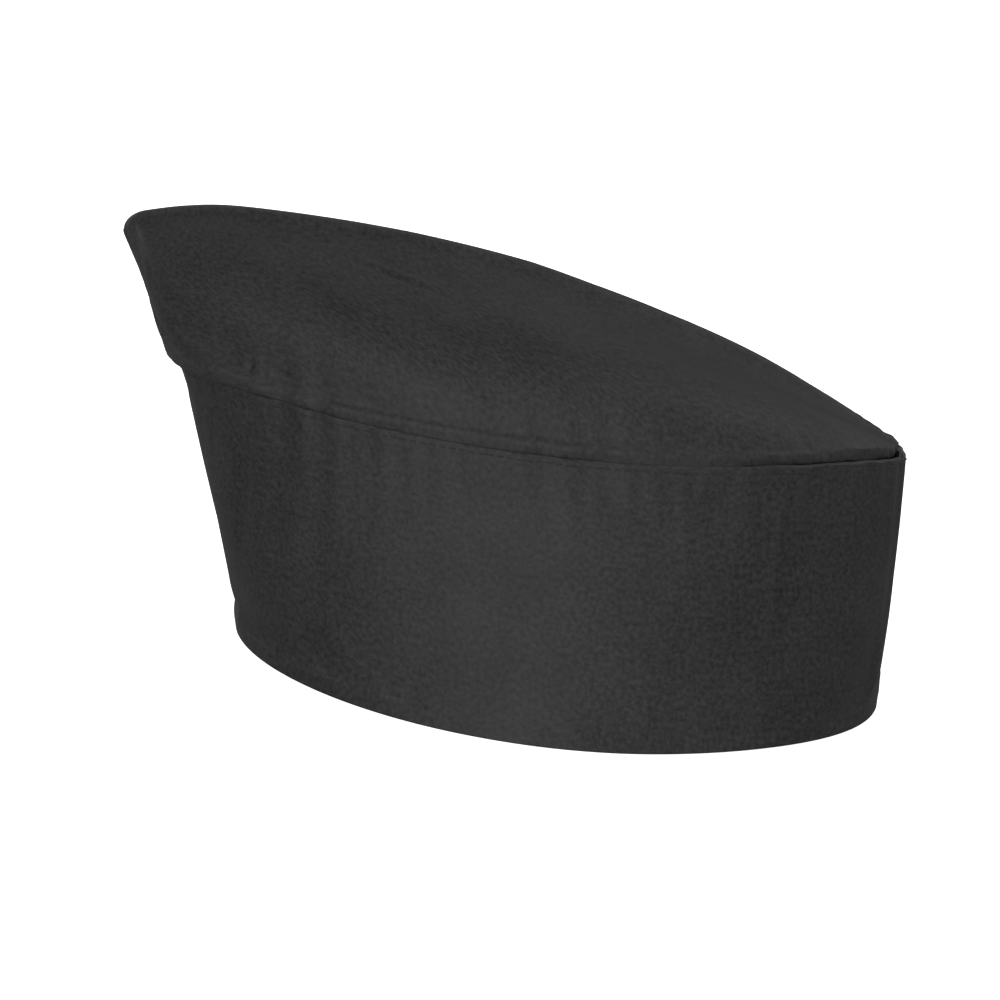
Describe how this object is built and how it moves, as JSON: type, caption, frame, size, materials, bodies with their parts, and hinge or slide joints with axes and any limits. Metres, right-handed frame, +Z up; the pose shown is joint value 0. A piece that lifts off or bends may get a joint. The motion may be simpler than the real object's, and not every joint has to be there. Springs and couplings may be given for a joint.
{
  "type": "chef hat",
  "caption": "Low wedge-fronted black chef's hat: wide folded band, soft two-panel crown with a front peak, hook-and-loop tail at the back.",
  "frame": {"origin": "in the plane of the rim's lower fold (z = 0), under the middle of the hat's whole length and width", "axes": "+Z up from the rim plane to the crown, -Y the tall front, +Y the back with the closure, +X the wearer's left"},
  "size_m": [0.164, 0.2612, 0.1383],
  "materials": {
    "shell_cloth": "washed black cotton-blend twill, matt",
    "interfacing": "grey non-woven stiffener, matt",
    "seam_tape": "black herringbone tape, matt",
    "terry": "black cotton towelling, matt",
    "hook_tape": "black nylon hook tape, slight sheen",
    "loop_tape": "black brushed nylon loop tape, matt",
    "label_satin": "white woven satin, blank",
    "thread": "black polyester sewing thread"
  },
  "bodies": {
    "hat": {"band": "shell_cloth", "band_interfacing": "interfacing", "crown_panel_left": "shell_cloth", "crown_panel_right": "shell_cloth", "ridge_seam_tape": "seam_tape", "sweatband": "terry", "loop_strip": "loop_tape", "crown_seam_thread": "thread", "loop_strip_thread": "thread", "sweatband_thread": "thread"},
    "tail": {"closure_tail": "shell_cloth", "closure_tail_interfacing": "interfacing", "hook_strip": "hook_tape", "tail_edge_thread": "thread", "hook_strip_thread": "thread"},
    "label": {"care_label": "label_satin"}
  },
  "joints": [
    {"name": "tail_peel", "type": "hinge", "parent": "hat", "child": "tail", "pos_m": [0.0569, 0.098, 0], "axis": [0.1227, 0.1419, -0.9822], "range_deg": [0, 100]},
    {"name": "label_flap", "type": "hinge", "parent": "hat", "child": "label", "pos_m": [-0.0588, 0.0191, 0.0765], "axis": [-0.0412, -0.9991, -0.0072], "range_deg": [-8, 95]}
  ]
}
